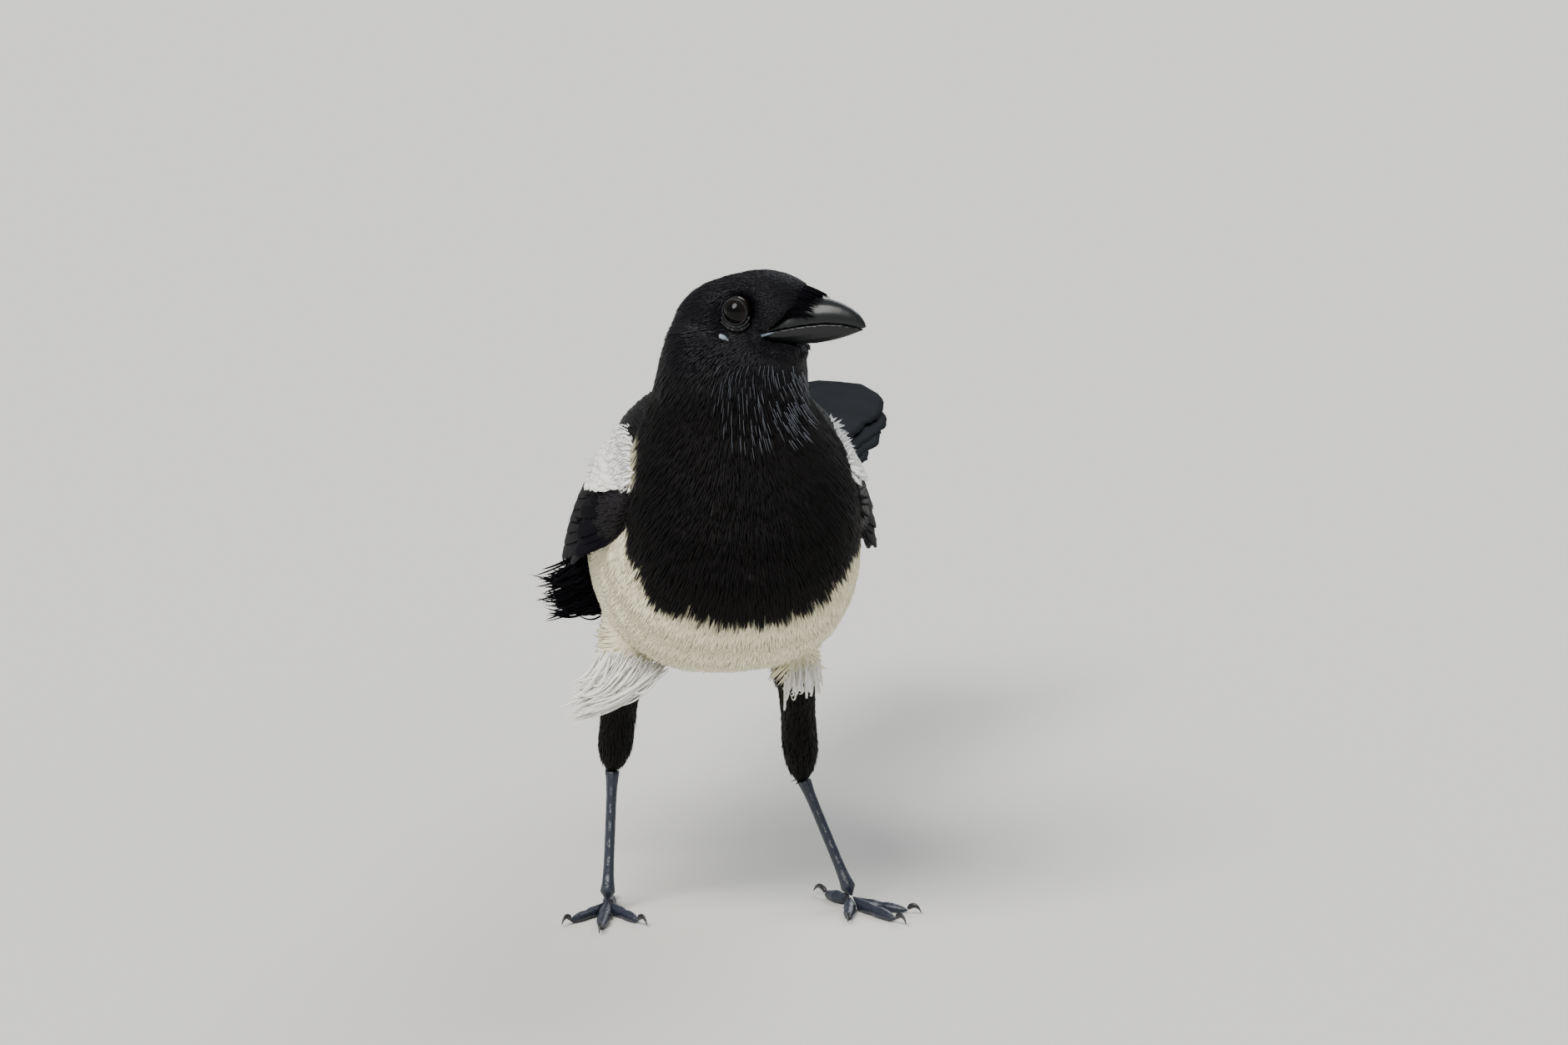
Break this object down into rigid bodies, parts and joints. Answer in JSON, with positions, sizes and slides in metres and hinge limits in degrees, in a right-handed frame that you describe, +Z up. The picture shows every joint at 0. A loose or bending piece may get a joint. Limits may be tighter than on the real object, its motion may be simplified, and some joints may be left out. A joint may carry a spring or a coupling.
{
  "type": "magpie",
  "caption": "Life-size standing black and white crow-like bird, head turned to its left, long graduated tail, folded wings and legs set apart.",
  "frame": {"origin": "on the floor, at the middle of the bounding box in x and y", "axes": "the bird faces -Y, +X to its left, +Z up"},
  "size_m": [0.1602, 0.3524, 0.2319],
  "materials": {
    "black_plumage": "soft feathers, black with a violet sheen",
    "white_plumage": "soft feathers, creamy white",
    "blue_gloss_plumage": "smooth feathers with a blue gloss",
    "green_gloss_plumage": "smooth feathers with a green gloss",
    "bill": "dark horn, satin",
    "eye": "wet gloss",
    "leg_skin": "scaled skin, satin",
    "claw": "dark horn, satin"
  },
  "bodies": {
    "root": {"claw_left_hind": "claw", "claw_left_inner": "claw", "claw_left_middle": "claw", "claw_left_outer": "claw", "claw_right_hind": "claw", "claw_right_inner": "claw", "claw_right_middle": "claw", "claw_right_outer": "claw", "eye_left": "eye", "eye_right": "eye", "head": "black_plumage", "lower_bill": "bill", "neck": "black_plumage", "rump": "black_plumage", "scapulars_left": "white_plumage", "scapulars_right": "white_plumage", "shank_left": "leg_skin", "shank_right": "leg_skin", "tail": "green_gloss_plumage", "thigh_left": "black_plumage", "thigh_right": "black_plumage", "toe_left_hind": "leg_skin", "toe_left_inner": "leg_skin", "toe_left_middle": "leg_skin", "toe_left_outer": "leg_skin", "toe_right_hind": "leg_skin", "toe_right_inner": "leg_skin", "toe_right_middle": "leg_skin", "toe_right_outer": "leg_skin", "torso": "white_plumage", "upper_bill": "bill", "wing_left_coverts": "black_plumage", "wing_left_primaries": "green_gloss_plumage", "wing_left_secondaries": "blue_gloss_plumage", "wing_right_coverts": "black_plumage", "wing_right_primaries": "green_gloss_plumage", "wing_right_secondaries": "blue_gloss_plumage"}
  },
  "joints": []
}
